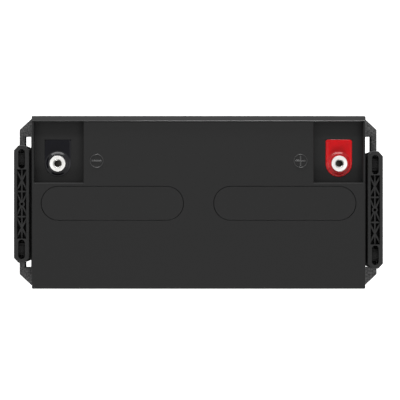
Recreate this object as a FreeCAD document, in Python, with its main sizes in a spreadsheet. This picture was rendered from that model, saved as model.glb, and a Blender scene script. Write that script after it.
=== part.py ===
import FreeCAD, Part
import math
import os
import Sketcher

# A sealed 12 V stand-by battery for an uninterruptible supply: a six-cell case with a lid, two
# threaded terminals in corner bays, covers over the valves, and a lifting handle at each end.
# Millimetres. The origin is on the floor under the middle: +X is the length, with the positive
# terminal at +X, +Y is the rear, where the terminals stand, and +Z is up.

# The driving sizes: the alias in the sheet, the size and what it measures.
SIZES = (
    ("case_length", 330, "lid, end to end without its flanges"),
    ("case_width", 171, "lid, front to rear"),
    ("case_height", 220, "floor to the crest of the rear lip"),
    ("lid_corner", 1.2, "upright corners of the lid"),
    ("corner_round", 3, "upright corners of the container"),
    ("edge_round", 1, "edges of the lid's top and its bays"),
    ("case_inset", 2, "container's rim inside the lid's outline"),
    ("draft", 0.8, "container's foot inside its rim, each side"),
    ("wall", 3.2, "container's outer wall at the rim"),
    ("floor_thickness", 4, "container's floor"),
    ("partition", 2, "wall between two cells"),
    ("cell_round", 2, "upright corners inside a cell"),
    ("lid_depth", 38, "lid, lower edge to crest"),
    ("lid_overlap", 6, "lid's lower edge below the joint"),
    ("bead", 1, "thickness of the sealing bead"),
    ("lid_roof", 3.5, "lid's top plate"),
    ("lip_width", 5.3, "rear lip, crest to rear face"),
    ("lip_rise", 1.5, "crest over the lid's top"),
    ("lip_fall", 1, "fall of the lip's top towards the rear"),
    ("crest_width", 1.2, "level front of the lip's top"),
    ("bay_length", 51, "terminal bay, inner wall to the lid's end"),
    ("bay_rim", 2.2, "wall that closes the bay at the lid's end"),
    ("bay_width", 60.7, "terminal bay, front wall to the rear lip"),
    ("bay_depth", 10.5, "terminal bay below the lid's top"),
    ("well_radius", 13.2, "round front of the well about a terminal"),
    ("well_back", 24, "well's flat rear wall from the terminal's axis"),
    ("well_depth", 5, "well below the bay's floor"),
    ("well_floor", 3, "plate under the well"),
    ("terminal_from_end", 25, "terminal's axis from the lid's end"),
    ("terminal_from_rear", 47, "terminal's axis from the lid's rear face"),
    ("head_radius", 8.15, "terminal's head"),
    ("head_rise", 5, "head's top over the bay's floor"),
    ("collar_radius", 10.3, "terminal's collar"),
    ("stem_radius", 6, "terminal's stem through the lid"),
    ("stem_length", 7, "stem below the collar"),
    ("thread_radius", 3.4, "core of the M8 thread"),
    ("thread_depth", 14, "threaded hole, mouth to floor"),
    ("terminal_edge", 0.6, "bevel round the head and the thread's mouth"),
    ("resin_drop", 1, "resin's top below the bay's floor"),
    ("seal_ring", 1.8, "square section of the terminal's sealing ring"),
    ("cover_width", 33.2, "vent cover, and the width of its round ends"),
    ("cover_thickness", 2.5, "vent cover's plate"),
    ("cover_gap", 0.5, "line round a vent cover"),
    ("cover_ledge", 3, "ledge that a vent cover rests on"),
    ("cover_to_bay", 3.75, "land between a vent cover and the bay's front wall"),
    ("cover_shift", 4.9, "vent cover's middle beyond its three cells' middle"),
    ("chamber_drop", 4, "valve chamber's floor below the bay's floor"),
    ("valve_bore", 4, "radius of the valve's chimney bore"),
    ("valve_radius", 6.5, "valve's chimney"),
    ("valve_rise", 7, "chimney over the chamber's floor"),
    ("cap_wall", 1.2, "rubber cap over a chimney"),
    ("cap_skirt", 5, "rubber cap's skirt"),
    ("pin_radius", 3, "cover's pin over each rubber cap"),
    ("rail_out", 11.5, "rail's middle beyond the lid's end"),
    ("rail_width", 6, "rail between the slot and the open"),
    ("rail_height", 12, "flange and rail, top to bottom"),
    ("rail_drop", 22, "rail's top below the crest"),
    ("rail_round", 1.5, "rail's long edges"),
    ("slot_ledge", 2.7, "flange between the lid's end and the slot"),
    ("slot_from_side", 19.8, "slot's end from the lid's side"),
    ("flange_end", 6.6, "flange beyond the slot's end"),
    ("flange_root", 2, "flange's root from the lid's side"),
    ("flange_step", 2.5, "flange's straight side at its root"),
    ("grip_inset", 0.7, "grip's middle inwards of the rail's"),
    ("grip_height", 13.7, "grip's body above the rail"),
    ("grip_from_slot_end", 7.2, "middle grip's end from the slot's end"),
    ("grip_tip", 5, "slanted end of the grip"),
    ("grip_tip_half", 3, "half of the grip's flat tip"),
    ("grip_corner", 2, "upright corners of the grip's ends"),
    ("grip_round", 0.8, "edges of the grip's top"),
    ("grip_wall", 3, "grip's side walls"),
    ("grip_web", 3, "grip's web, on the rail"),
    ("grip_skirt", 16, "skirts that straddle the rail"),
    ("grip_skirt_wall", 1.6, "thickness of the outer skirt"),
    ("grip_play", 1.5, "how far a grip shifts along its bands, each way"),
    ("foot_gap", 0.7, "grip's foot over the slot, clear of the lid's end"),
    ("foot_slant", 3, "fall of the foot's end from the grip's tip"),
    ("truss_from_end", 24, "ribbed trough's end from the grip's end"),
    ("truss_middle", 25, "length of the middle bay of ribs"),
    ("rib", 1.6, "cross ribs"),
    ("spine", 1.4, "rib along the grip's middle"),
    ("rib_slant", 3.6, "slanted ribs, measured along the grip"),
    ("rib_drop", 3, "ribs below the grip's top"),
    ("hub_radius", 3, "hub where the middle ribs cross"),
    ("hub_bore", 1.5, "hole through the hub"),
    ("pocket_from_end", 13.5, "strap pocket's middle from the grip's end"),
    ("pocket_width", 6.8, "mouth of a strap pocket"),
    ("pocket_length", 19.5, "mouth of a strap pocket, along the grip"),
    ("pocket_skin", 2.5, "grip's top round a pocket's mouth"),
    ("bar_rise", 5.5, "bar under a strap band, above the web"),
    ("bar_end", 0.7, "web between a bar and the hole at its end"),
    ("band_width", 8, "handle's strap band"),
    ("band_thickness", 1.5, "handle's strap band"),
    ("band_bend", 0.8, "inner bend of a strap band"),
    ("band_slack", 22, "how far a handle lifts before its bands pull"),
    ("left_grip_back", -1.8, "left grip's middle towards the rear"),
    ("right_grip_back", -7.6, "right grip's middle towards the rear"),
    ("cell_count", 6, "cells in a row"),
    ("positive_count", 6, "positive plates in a cell"),
    ("positive_plate", 3, "thickness of a positive plate"),
    ("negative_plate", 2.2, "thickness of a negative plate"),
    ("mat_fold", 1.5, "glass mat round a plate's edge"),
    ("mat_over", 2, "glass mat over the plates' top"),
    ("bus_from_rim", 11, "plate bus's top below the container's rim"),
    ("bus_thickness", 8, "plate bus"),
    ("bus_width", 24, "plate bus, front to rear"),
    ("lug_height", 6, "plate's lug between plate and bus"),
    ("lug_width", 16, "plate's lug"),
    ("tab_thickness", 3, "bus's tab at a partition"),
    ("tab_rise", 8, "tab over the bus"),
    ("weld_radius", 5, "weld through a partition"),
    ("weld_rise", 2, "weld's axis over the bus"),
    ("post_radius", 7, "lead post under a terminal"),
    ("fit", 0.15, "clearance between fixed pieces"),
    ("seat", 0.3, "clearance of loose pieces on their seat"),
)

doc = FreeCAD.newDocument("ups_battery")
sheet = doc.addObject("Spreadsheet::Sheet", "sizes")
for row, (alias, number, meaning) in enumerate(SIZES, start=1):
    sheet.set(f"A{row}", meaning)
    sheet.set(f"B{row}", str(number))
    sheet.setAlias(f"B{row}", alias)
doc.recompute()


class Size:
    """A length with its value now and the formula that ties it to the sheet."""

    def __init__(self, value, formula):
        self.value = float(value)
        self.formula = formula

    def __float__(self):
        return self.value

    def __add__(self, other):
        return Size(self.value + float(other), f"({self.formula} + {formula(other)})")

    def __sub__(self, other):
        return Size(self.value - float(other), f"({self.formula} - {formula(other)})")

    def __rsub__(self, other):
        return Size(float(other) - self.value, f"({formula(other)} - {self.formula})")

    def __mul__(self, other):
        return Size(self.value * float(other), f"({self.formula} * {formula(other)})")

    def __truediv__(self, other):
        return Size(self.value / float(other), f"({self.formula} / {formula(other)})")

    def __neg__(self):
        return Size(-self.value, f"(0 - {self.formula})")

    __radd__ = __add__
    __rmul__ = __mul__


def formula(length):
    """A size's formula, or a plain number as text."""
    if isinstance(length, Size):
        return length.formula
    return str(float(length))


def tie(item, name, length):
    """Ties a property, or a sketch's constraint, to the sheet."""
    item.setExpression(name, formula(length))


class Sheet:
    """The sheet's cells as sizes, by their aliases."""

    def __getattr__(self, alias):
        return Size(sheet.get(alias), f"sizes.{alias}")


size = Sheet()

cell_total = int(float(size.cell_count))
cells_per_cover = cell_total // 2

# Plan of the case, from its middle
half_length = size.case_length / 2
half_width = size.case_width / 2
rim_x = half_length - size.case_inset
rim_y = half_width - size.case_inset
inner_x = rim_x - size.wall
inner_y = rim_y - size.wall
cell_pitch = (inner_x * 2 + size.partition) / size.cell_count
cell_half = (cell_pitch - size.partition) / 2
first_cell = -inner_x + cell_half
bay_x = half_length - size.bay_length
bay_back = half_width - size.lip_width
bay_front = bay_back - size.bay_width
terminal_x = half_length - size.terminal_from_end
terminal_y = half_width - size.terminal_from_rear
ring_inner = size.stem_radius + size.fit
ring_outer = ring_inner + size.seal_ring
cover_radius = size.cover_width / 2
cover_half = cell_pitch * (cells_per_cover - 1) / 2
cover_x = cell_pitch * cells_per_cover / 2 + size.cover_shift
cover_y = bay_front - size.cover_to_bay - cover_radius

# Levels, from the floor up
lid_top = size.case_height - size.lip_rise
seam = size.case_height - size.lid_depth
joint = seam + size.lid_overlap
rim = joint - size.bead
bay_floor = lid_top - size.bay_depth
well_bottom = bay_floor - size.well_depth
low_roof = well_bottom - size.well_floor
high_roof = lid_top - size.lid_roof
chamber_floor = bay_floor - size.chamber_drop
ledge = lid_top - size.cover_thickness
chimney_top = chamber_floor + size.valve_rise
cap_top = chimney_top + size.fit + size.cap_wall
head_top = bay_floor + size.head_rise
collar_bottom = well_bottom + size.fit
stem_bottom = collar_bottom - size.stem_length
bus_top = rim - size.bus_from_rim
bus_bottom = bus_top - size.bus_thickness
plate_top = bus_bottom - size.lug_height
plate_bottom = size.floor_thickness + size.seat
weld_z = bus_top + size.weld_rise

# Handles: their rails, grips and bands
rail_x = half_length + size.rail_out
rail_top = size.case_height - size.rail_drop
rail_bottom = rail_top - size.rail_height
slot_end = half_width - size.slot_from_side
web_bottom = rail_top + size.seat
web_top = web_bottom + size.grip_web
grip_top = web_bottom + size.grip_height
grip_half = slot_end - size.grip_from_slot_end
pocket_y = grip_half - size.pocket_from_end
band_inner = size.rail_width / 2 + size.seat * 2
band_outer = band_inner + size.band_thickness
band_half = size.band_width / 2
bar_half = band_inner - size.seat
bar_top = web_top + size.bar_rise
hole_half = size.rail_width / 2 - size.seat
slit_outer = band_outer + size.seat
slit_half = band_half + size.grip_play + size.seat
hole_start = slit_half + size.bar_end
grip_side = slit_outer + size.grip_inset + size.grip_skirt_wall


def new_body(name):
    body = doc.addObject("PartDesign::Body", name)
    body.Label = name
    return body


def origin_item(body, role):
    return next(item for item in body.Origin.OriginFeatures if item.Role == role)


def sketch_on(body, role, height=0):
    """A sketch on one of the body's origin planes, moved off it by height."""
    sketch = body.newObject("Sketcher::SketchObject", f"{body.Name}_sketch")
    sketch.AttachmentSupport = [(origin_item(body, role), "")]
    sketch.MapMode = "FlatFace"
    tie(sketch, "AttachmentOffset.Base.z", height)
    return sketch


def constrain(sketch, kind, *where):
    """Adds a constraint; the last value, the length, is tied to the sheet."""
    length = where[-1]
    index = sketch.addConstraint(Sketcher.Constraint(kind, *where[:-1], float(length)))
    tie(sketch, f"Constraints[{index}]", length)


def polygon(sketch, corners):
    """A closed outline of straight lines through tied corners."""
    first = sketch.GeometryCount
    points = [FreeCAD.Vector(float(x), float(y), 0) for x, y in corners]
    following = points[1:] + points[:1]
    sketch.addGeometry([Part.LineSegment(a, b) for a, b in zip(points, following)])
    count = len(corners)
    joints = [
        Sketcher.Constraint("Coincident", first + i, 2, first + (i + 1) % count, 1)
        for i in range(count)
    ]
    sketch.addConstraint(joints)
    for line, (x, y) in enumerate(corners, start=first):
        constrain(sketch, "DistanceX", line, 1, x)
        constrain(sketch, "DistanceY", line, 1, y)


def rectangle(sketch, left, low, right, high):
    polygon(sketch, [(left, low), (right, low), (right, high), (left, high)])


def circle(sketch, x, y, radius):
    centre = FreeCAD.Vector(float(x), float(y), 0)
    index = sketch.addGeometry(Part.Circle(centre, FreeCAD.Vector(0, 0, 1), float(radius)))
    constrain(sketch, "DistanceX", index, 3, x)
    constrain(sketch, "DistanceY", index, 3, y)
    constrain(sketch, "Radius", index, radius)


def arc(x, y, radius, quarter, turns):
    """An arc that starts at a quarter, from +X anticlockwise, and runs for some quarters."""
    quarter_turn = math.pi / 2
    full = Part.Circle(FreeCAD.Vector(float(x), float(y), 0), FreeCAD.Vector(0, 0, 1), float(radius))
    return Part.ArcOfCircle(full, quarter * quarter_turn, (quarter + turns) * quarter_turn)


def line(x0, y0, x1, y1):
    start = FreeCAD.Vector(float(x0), float(y0), 0)
    return Part.LineSegment(start, FreeCAD.Vector(float(x1), float(y1), 0))


def smooth_chain(sketch, pieces):
    """Adds a closed chain of lines and arcs, each tangent to the next."""
    first = sketch.GeometryCount
    sketch.addGeometry(pieces)
    count = len(pieces)
    for i in range(count):
        after = first + (i + 1) % count
        sketch.addConstraint(Sketcher.Constraint("Tangent", first + i, 2, after, 1))
    return first


def rounded_rectangle(sketch, left, low, right, high, radius):
    first = smooth_chain(
        sketch,
        [
            line(left + radius, low, right - radius, low),
            arc(right - radius, low + radius, radius, 3, 1),
            line(right, low + radius, right, high - radius),
            arc(right - radius, high - radius, radius, 0, 1),
            line(right - radius, high, left + radius, high),
            arc(left + radius, high - radius, radius, 1, 1),
            line(left, high - radius, left, low + radius),
            arc(left + radius, low + radius, radius, 2, 1),
        ],
    )
    for offset, level in ((0, low), (4, high)):
        sketch.addConstraint(Sketcher.Constraint("Horizontal", first + offset))
        constrain(sketch, "DistanceY", first + offset, 1, level)
    for offset, place in ((2, right), (6, left)):
        sketch.addConstraint(Sketcher.Constraint("Vertical", first + offset))
        constrain(sketch, "DistanceX", first + offset, 1, place)
    for offset in (3, 5, 7):
        sketch.addConstraint(Sketcher.Constraint("Equal", first + 1, first + offset))
    constrain(sketch, "Radius", first + 1, radius)


def obround(sketch, x, y, half_straight, radius, along_y=False):
    """A slot outline with round ends, lying along X, or along Y."""
    if along_y:
        start, end = (x, y - half_straight), (x, y + half_straight)
        sides = [
            line(start[0] + radius, start[1], end[0] + radius, end[1]),
            arc(end[0], end[1], radius, 0, 2),
            line(end[0] - radius, end[1], start[0] - radius, start[1]),
            arc(start[0], start[1], radius, 2, 2),
        ]
    else:
        start, end = (x - half_straight, y), (x + half_straight, y)
        sides = [
            line(start[0], start[1] - radius, end[0], end[1] - radius),
            arc(end[0], end[1], radius, 3, 2),
            line(end[0], end[1] + radius, start[0], start[1] + radius),
            arc(start[0], start[1], radius, 1, 2),
        ]
    first = smooth_chain(sketch, sides)
    sketch.addConstraint(Sketcher.Constraint("Vertical" if along_y else "Horizontal", first))
    sketch.addConstraint(Sketcher.Constraint("Equal", first + 1, first + 3))
    constrain(sketch, "Radius", first + 1, radius)
    constrain(sketch, "DistanceX", first + 1, 3, end[0])
    constrain(sketch, "DistanceY", first + 1, 3, end[1])
    if along_y:
        constrain(sketch, "DistanceY", first + 3, 3, start[1])
    else:
        constrain(sketch, "DistanceX", first + 3, 3, start[0])


def arch(sketch, x, y, radius, back):
    """A U outline: round at the front about x, y and flat at the back."""
    first = sketch.GeometryCount
    sketch.addGeometry(
        [
            line(x + radius, y, x + radius, back),
            line(x + radius, back, x - radius, back),
            line(x - radius, back, x - radius, y),
            arc(x, y, radius, 2, 2),
        ]
    )
    sketch.addConstraint(
        [
            Sketcher.Constraint("Coincident", first, 2, first + 1, 1),
            Sketcher.Constraint("Coincident", first + 1, 2, first + 2, 1),
            Sketcher.Constraint("Tangent", first + 2, 2, first + 3, 1),
            Sketcher.Constraint("Tangent", first + 3, 2, first, 1),
            Sketcher.Constraint("Vertical", first),
            Sketcher.Constraint("Horizontal", first + 1),
            Sketcher.Constraint("Vertical", first + 2),
        ]
    )
    constrain(sketch, "DistanceX", first + 3, 3, x)
    constrain(sketch, "DistanceY", first + 3, 3, y)
    constrain(sketch, "Radius", first + 3, radius)
    constrain(sketch, "DistanceY", first + 1, 1, back)


def feature(body, kind, sketch, length, backwards=False, both_ways=False):
    """A Pad or Pocket of a sketch by a tied length."""
    made = body.newObject(f"PartDesign::{kind}", f"{body.Name}_{kind.lower()}")
    made.Profile = sketch
    tie(made, "Length", length)
    made.Reversed = backwards
    if both_ways:
        made.SideType = "Symmetric"
    return made


def pad(body, sketch, length, **how):
    return feature(body, "Pad", sketch, length, **how)


def pocket(body, sketch, length, **how):
    """Cuts a sketch downwards, or upwards where it is backwards."""
    return feature(body, "Pocket", sketch, length, **how)


def row_of(body, original, count, spacing):
    """Repeats a feature along +X."""
    pattern = body.newObject("PartDesign::LinearPattern", f"{body.Name}_row")
    pattern.Originals = [original]
    pattern.Direction = (origin_item(body, "X_Axis"), [""])
    pattern.Mode = "Extent"
    tie(pattern, "Occurrences", count)
    tie(pattern, "Length", (count - 1) * spacing)
    body.Tip = pattern
    return pattern


def round_edges(body, radius, chosen):
    """Rounds the edges of the body so far for which chosen, given their box, is true."""
    doc.recompute()
    base = body.Tip
    names = [
        f"Edge{number}"
        for number, edge in enumerate(base.Shape.Edges, start=1)
        if chosen(edge.BoundBox)
    ]
    fillet = body.newObject("PartDesign::Fillet", f"{body.Name}_round")
    fillet.Base = (base, names)
    tie(fillet, "Radius", radius)
    body.Tip = fillet


def near(value, length):
    return abs(value - float(length)) < 1e-4


def place(item, x, y, z=0):
    tie(item, "Placement.Base.x", x)
    tie(item, "Placement.Base.y", y)
    tie(item, "Placement.Base.z", z)


def cell_outlines(body, level):
    """A sketch of the first cell's outline at a level."""
    sketch = sketch_on(body, "XY_Plane", level)
    left = first_cell - cell_half
    right = first_cell + cell_half
    rounded_rectangle(sketch, left, -inner_y, right, inner_y, size.cell_round)
    return sketch


def weld_side(number):
    """The side, -1 for the front and 1 for the rear, of the weld after a cell."""
    return -1 if number % 2 == 0 else 1


# Case

def container():
    """The moulded case: drafted walls, a floor and a partition between cells."""
    body = new_body("container")
    outline_round = size.corner_round
    foot = sketch_on(body, "XY_Plane")
    foot_x = rim_x - size.draft
    foot_y = rim_y - size.draft
    rounded_rectangle(foot, -foot_x, -foot_y, foot_x, foot_y, outline_round)
    top = sketch_on(body, "XY_Plane", rim)
    rounded_rectangle(top, -rim_x, -rim_y, rim_x, rim_y, outline_round)
    walls = body.newObject("PartDesign::AdditiveLoft", "container_walls")
    walls.Profile = foot
    walls.Sections = [top]
    walls.Ruled = True
    cell = pocket(body, cell_outlines(body, rim), rim - size.floor_thickness)
    row_of(body, cell, size.cell_count, cell_pitch)
    # A hole for each weld, in the front of one partition and the rear of the next
    for number in range(2):
        face = first_cell + cell_half + cell_pitch * number
        window = sketch_on(body, "YZ_Plane", face)
        circle(window, weld_side(number) * terminal_y, weld_z, size.weld_radius + size.fit)
        hole = pocket(body, window, size.partition, backwards=True)
        row_of(body, hole, (cell_total - number) // 2, cell_pitch * 2)


def sealing_bead():
    """Adhesive on the rim of the container and of its partitions."""
    body = new_body("sealing_bead")
    ring = sketch_on(body, "XY_Plane", rim)
    rounded_rectangle(ring, -rim_x, -rim_y, rim_x, rim_y, size.corner_round)
    pad(body, ring, size.bead)
    cell = pocket(body, cell_outlines(body, joint), size.bead)
    row_of(body, cell, size.cell_count, cell_pitch)


def lid():
    """The lid: bays, wells, valve chambers, rear lip and slotted end flanges in one moulding."""
    body = new_body("lid")
    block = sketch_on(body, "XY_Plane", seam)
    rounded_rectangle(block, -half_length, -half_width, half_length, half_width, size.lid_corner)
    pad(body, block, size.lid_depth)

    # The top lies below the crest of the rear lip, whose own top slopes to the rear
    crest = size.case_height
    crest_back = bay_back + size.crest_width
    over = crest + size.lip_rise
    beyond = half_width + size.lip_width
    slope = size.lip_fall / (size.lip_width - size.crest_width)
    profile = sketch_on(body, "YZ_Plane")
    polygon(
        profile,
        [
            (-beyond, lid_top),
            (bay_back, lid_top),
            (bay_back, crest),
            (crest_back, crest),
            (beyond, crest - slope * (beyond - crest_back)),
            (beyond, over),
            (-beyond, over),
        ],
    )
    pocket(body, profile, size.case_length + size.case_inset, both_ways=True)

    # Terminal bays
    bays = sketch_on(body, "XY_Plane", lid_top)
    for sign in (-1, 1):
        rectangle(bays, bay_x * sign, bay_front, (half_length - size.bay_rim) * sign, bay_back)
    pocket(body, bays, size.bay_depth)
    before_lip = float(bay_back - size.fit)
    round_edges(body, size.edge_round, lambda box: near(box.ZMin, lid_top) and near(box.ZMax, lid_top)
                and box.YMin < before_lip)
    crest_front = float(bay_back + size.fit)
    round_edges(body, size.edge_round, lambda box: near(box.ZMin, crest) and near(box.ZMax, crest)
                and box.YMax < crest_front)

    # End flanges, each round a slot that leaves a rail for the handle
    flanges = sketch_on(body, "XY_Plane", rail_bottom)
    root = half_length - size.case_inset
    slot_x = rail_x - size.rail_width / 2
    outer_x = rail_x + size.rail_width / 2
    root_y = half_width - size.flange_root
    outer_y = slot_end + size.flange_end
    side = [(root, root_y), (half_length + size.flange_step, root_y), (outer_x, outer_y)]
    for sign in (-1, 1):
        outline = side + [(x, -y) for x, y in reversed(side)]
        polygon(flanges, [(x * sign, y) for x, y in outline])
        rectangle(flanges, (half_length + size.slot_ledge) * sign, -slot_end, slot_x * sign, slot_end)
    pad(body, flanges, size.rail_height)
    long_edge = float(slot_end) * 1.9
    rail_faces = (slot_x, outer_x)
    round_edges(body, size.rail_round, lambda box: box.YLength > long_edge and box.ZLength < 1e-6
                and any(near(abs(box.Center.x), face) for face in rail_faces))

    # The lower edge laps the container, and each cell reaches up into the lid
    groove = sketch_on(body, "XY_Plane", seam)
    lap_x = rim_x + size.fit
    lap_y = rim_y + size.fit
    rounded_rectangle(groove, -lap_x, -lap_y, lap_x, lap_y, size.corner_round)
    pocket(body, groove, size.lid_overlap, backwards=True)
    cell = pocket(body, cell_outlines(body, joint), low_roof - joint, backwards=True)
    row_of(body, cell, size.cell_count, cell_pitch)
    # Over the front of every cell, and over the rear of the cells between the bays, it is higher
    front = sketch_on(body, "XY_Plane", low_roof)
    cover_front = cover_y - cover_radius - size.wall
    left = first_cell - cell_half
    right = first_cell + cell_half
    rectangle(front, left, -inner_y, right, cover_front)
    row_of(body, pocket(body, front, high_roof - low_roof, backwards=True), size.cell_count, cell_pitch)
    rear = sketch_on(body, "XY_Plane", low_roof)
    cover_rear = cover_y + cover_radius + size.wall
    rectangle(rear, left + cell_pitch, cover_rear, right + cell_pitch, inner_y)
    row_of(body, pocket(body, rear, high_roof - low_roof, backwards=True), size.cell_count - 2, cell_pitch)

    # A seat for each vent cover, with its valve chamber and three chimneys
    seats = sketch_on(body, "XY_Plane", lid_top)
    chambers = sketch_on(body, "XY_Plane", ledge)
    for sign in (-1, 1):
        obround(seats, cover_x * sign, cover_y, cover_half, cover_radius + size.cover_gap)
        obround(chambers, cover_x * sign, cover_y, cover_half, cover_radius - size.cover_ledge)
    pocket(body, seats, size.cover_thickness)
    pocket(body, chambers, ledge - chamber_floor)
    chimneys = sketch_on(body, "XY_Plane", chamber_floor)
    bores = sketch_on(body, "XY_Plane", chimney_top)
    for x in valve_places():
        circle(chimneys, x, cover_y, size.valve_radius)
        circle(bores, x, cover_y, size.valve_bore)
    pad(body, chimneys, size.valve_rise)
    pocket(body, bores, chimney_top - low_roof + size.lid_roof)

    # A well in each bay, with a stepped hole for the terminal
    wells = sketch_on(body, "XY_Plane", bay_floor)
    ring_seats = sketch_on(body, "XY_Plane", well_bottom)
    stem_holes = sketch_on(body, "XY_Plane", well_bottom)
    for sign in (-1, 1):
        arch(wells, terminal_x * sign, terminal_y, size.well_radius, terminal_y + size.well_back)
        circle(ring_seats, terminal_x * sign, terminal_y, ring_outer + size.fit)
        circle(stem_holes, terminal_x * sign, terminal_y, size.stem_radius + size.seat)
    pocket(body, wells, size.well_depth)
    pocket(body, ring_seats, size.seal_ring)
    pocket(body, stem_holes, size.well_floor + size.lid_roof)


def valve_places():
    """The X of the valves, from -X: half of them under each cover."""
    first = -cover_half
    return [cover_x * sign + first + cell_pitch * step for sign in (-1, 1) for step in range(cells_per_cover)]


def vent_cover(name, sign):
    """An obround plate flush with the lid, with a pin over each valve's cap."""
    body = new_body(name)
    plate = sketch_on(body, "XY_Plane", ledge)
    obround(plate, 0, 0, cover_half, cover_radius)
    pad(body, plate, size.cover_thickness)
    pin = sketch_on(body, "XY_Plane", ledge)
    circle(pin, -cover_half, 0, size.pin_radius)
    row_of(body, pad(body, pin, ledge - cap_top - size.seat, backwards=True), cells_per_cover, cell_pitch)
    place(body, cover_x * sign, cover_y)


def valve_cap(number, x):
    """A rubber cap that closes a chimney until gas lifts it."""
    body = new_body(f"valve_cap_{number}")
    profile = sketch_on(body, "XZ_Plane")
    bore = size.valve_radius + size.fit
    outer = bore + size.cap_wall
    roof = cap_top - size.cap_wall
    bottom = chimney_top - size.cap_skirt
    skirt = [(bore, roof), (bore, bottom), (outer, bottom), (outer, cap_top)]
    polygon(profile, [(0, roof)] + skirt + [(0, cap_top)])
    turn(body, profile)
    place(body, x, cover_y)


def turn(body, profile):
    """Revolves a profile about the body's own upright axis."""
    turned = body.newObject("PartDesign::Revolution", f"{body.Name}_turned")
    turned.Profile = profile
    turned.ReferenceAxis = (origin_item(body, "Z_Axis"), [""])
    turned.Angle = 360
    return turned


# Terminals

def terminal(pole, sign):
    """A turned terminal: stem, collar and head, with a blind threaded hole."""
    body = new_body(f"terminal_{pole}")
    profile = sketch_on(body, "XZ_Plane")
    bevel = size.terminal_edge
    bore_floor = head_top - size.thread_depth
    polygon(
        profile,
        [
            (0, stem_bottom),
            (size.stem_radius, stem_bottom),
            (size.stem_radius, collar_bottom),
            (size.collar_radius, collar_bottom),
            (size.collar_radius, bay_floor),
            (size.head_radius, bay_floor),
            (size.head_radius, head_top - bevel),
            (size.head_radius - bevel, head_top),
            (size.thread_radius + bevel, head_top),
            (size.thread_radius, head_top - bevel),
            (size.thread_radius, bore_floor),
            (0, bore_floor - bevel),
        ],
    )
    turn(body, profile)
    place(body, terminal_x * sign, terminal_y)


def terminal_seal(pole, sign):
    """Coloured resin that fills the well round the terminal's collar."""
    body = new_body(f"terminal_seal_{pole}")
    outline = sketch_on(body, "XY_Plane", collar_bottom)
    arch(outline, 0, 0, size.well_radius - size.fit, size.well_back - size.fit)
    circle(outline, 0, 0, size.collar_radius + size.fit)
    pad(body, outline, bay_floor - size.resin_drop - collar_bottom)
    place(body, terminal_x * sign, terminal_y)


def seal_ring(pole, sign):
    """A rubber ring round the terminal's stem, under its collar."""
    body = new_body(f"seal_ring_{pole}")
    ring = sketch_on(body, "XY_Plane", well_bottom - size.seal_ring)
    circle(ring, 0, 0, ring_inner)
    circle(ring, 0, 0, ring_outer)
    pad(body, ring, size.seal_ring)
    place(body, terminal_x * sign, terminal_y)


def post(pole, sign):
    """A lead post from the outer cell's bus to the terminal's stem."""
    column = doc.addObject("Part::Cylinder", f"post_{pole}")
    column.Label = f"post_{pole}"
    tie(column, "Radius", size.post_radius)
    tie(column, "Height", stem_bottom - bus_top)
    place(column, terminal_x * sign, terminal_y, bus_top)


# Cells

negative_slot = size.negative_plate + size.fit * 2
positive_slot = size.positive_plate + size.fit * 2
stack_half = cell_half - size.seat
mat_space = stack_half * 2 - positive_slot * size.positive_count - negative_slot * (size.positive_count + 1)
mat_layer = mat_space / (size.positive_count * 2 + 2)
plate_pitch = negative_slot + positive_slot + mat_layer * 2
first_negative = -stack_half + mat_layer + negative_slot / 2
first_positive = first_negative + plate_pitch / 2
mat_y = inner_y - size.seat
plate_y = mat_y - size.mat_fold - size.seat


def separator(number, x):
    """One folded strip of glass mat that winds between the plates of a cell."""
    body = new_body(f"separator_{number}")
    block = sketch_on(body, "XY_Plane", plate_bottom)
    rounded_rectangle(block, -stack_half, -mat_y, stack_half, mat_y, size.cell_round)
    height = plate_top + size.mat_over - plate_bottom
    pad(body, block, height)
    fold = mat_y - size.mat_fold
    open_end = mat_y + size.mat_fold
    runs = (
        (first_negative, negative_slot, -fold, open_end, size.positive_count + 1),
        (first_positive, positive_slot, -open_end, fold, size.positive_count),
    )
    for middle, width, front, back, count in runs:
        slot = sketch_on(body, "XY_Plane", plate_bottom + height)
        rectangle(slot, middle - width / 2, front, middle + width / 2, back)
        row_of(body, pocket(body, slot, height + size.mat_over), count, plate_pitch)
    place(body, x, 0)


def plate_group(pole, number, x, side, last):
    """Plates of one pole under their bus, with a tab at the partition or a post's seat."""
    body = new_body(f"{pole}_plates_{number}")
    middle_y = terminal_y * side
    bus_half = stack_half - size.tab_thickness / 2
    bus = sketch_on(body, "XY_Plane", bus_bottom)
    half_bus = size.bus_width / 2
    rectangle(bus, -bus_half, middle_y - half_bus, bus_half, middle_y + half_bus)
    pad(body, bus, size.bus_thickness)
    if not last:
        tab = sketch_on(body, "XY_Plane", bus_bottom)
        face = cell_half - size.fit
        towards = 1 if pole == "positive" else -1
        inner, outer = (face - size.tab_thickness) * towards, face * towards
        rectangle(tab, inner, middle_y - half_bus, outer, middle_y + half_bus)
        pad(body, tab, size.bus_thickness + size.tab_rise)
    thickness, first, count = {
        "positive": (size.positive_plate, first_positive, size.positive_count),
        "negative": (size.negative_plate, first_negative, size.positive_count + 1),
    }[pole]
    plate = sketch_on(body, "YZ_Plane", first - thickness / 2)
    lug = size.lug_width / 2
    lug_top = bus_bottom + size.bus_thickness / 2
    polygon(
        plate,
        [
            (-plate_y, plate_bottom),
            (plate_y, plate_bottom),
            (plate_y, plate_top),
            (middle_y + lug, plate_top),
            (middle_y + lug, lug_top),
            (middle_y - lug, lug_top),
            (middle_y - lug, plate_top),
            (-plate_y, plate_top),
        ],
    )
    row_of(body, pad(body, plate, thickness), count, plate_pitch)
    place(body, x, 0)


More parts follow.
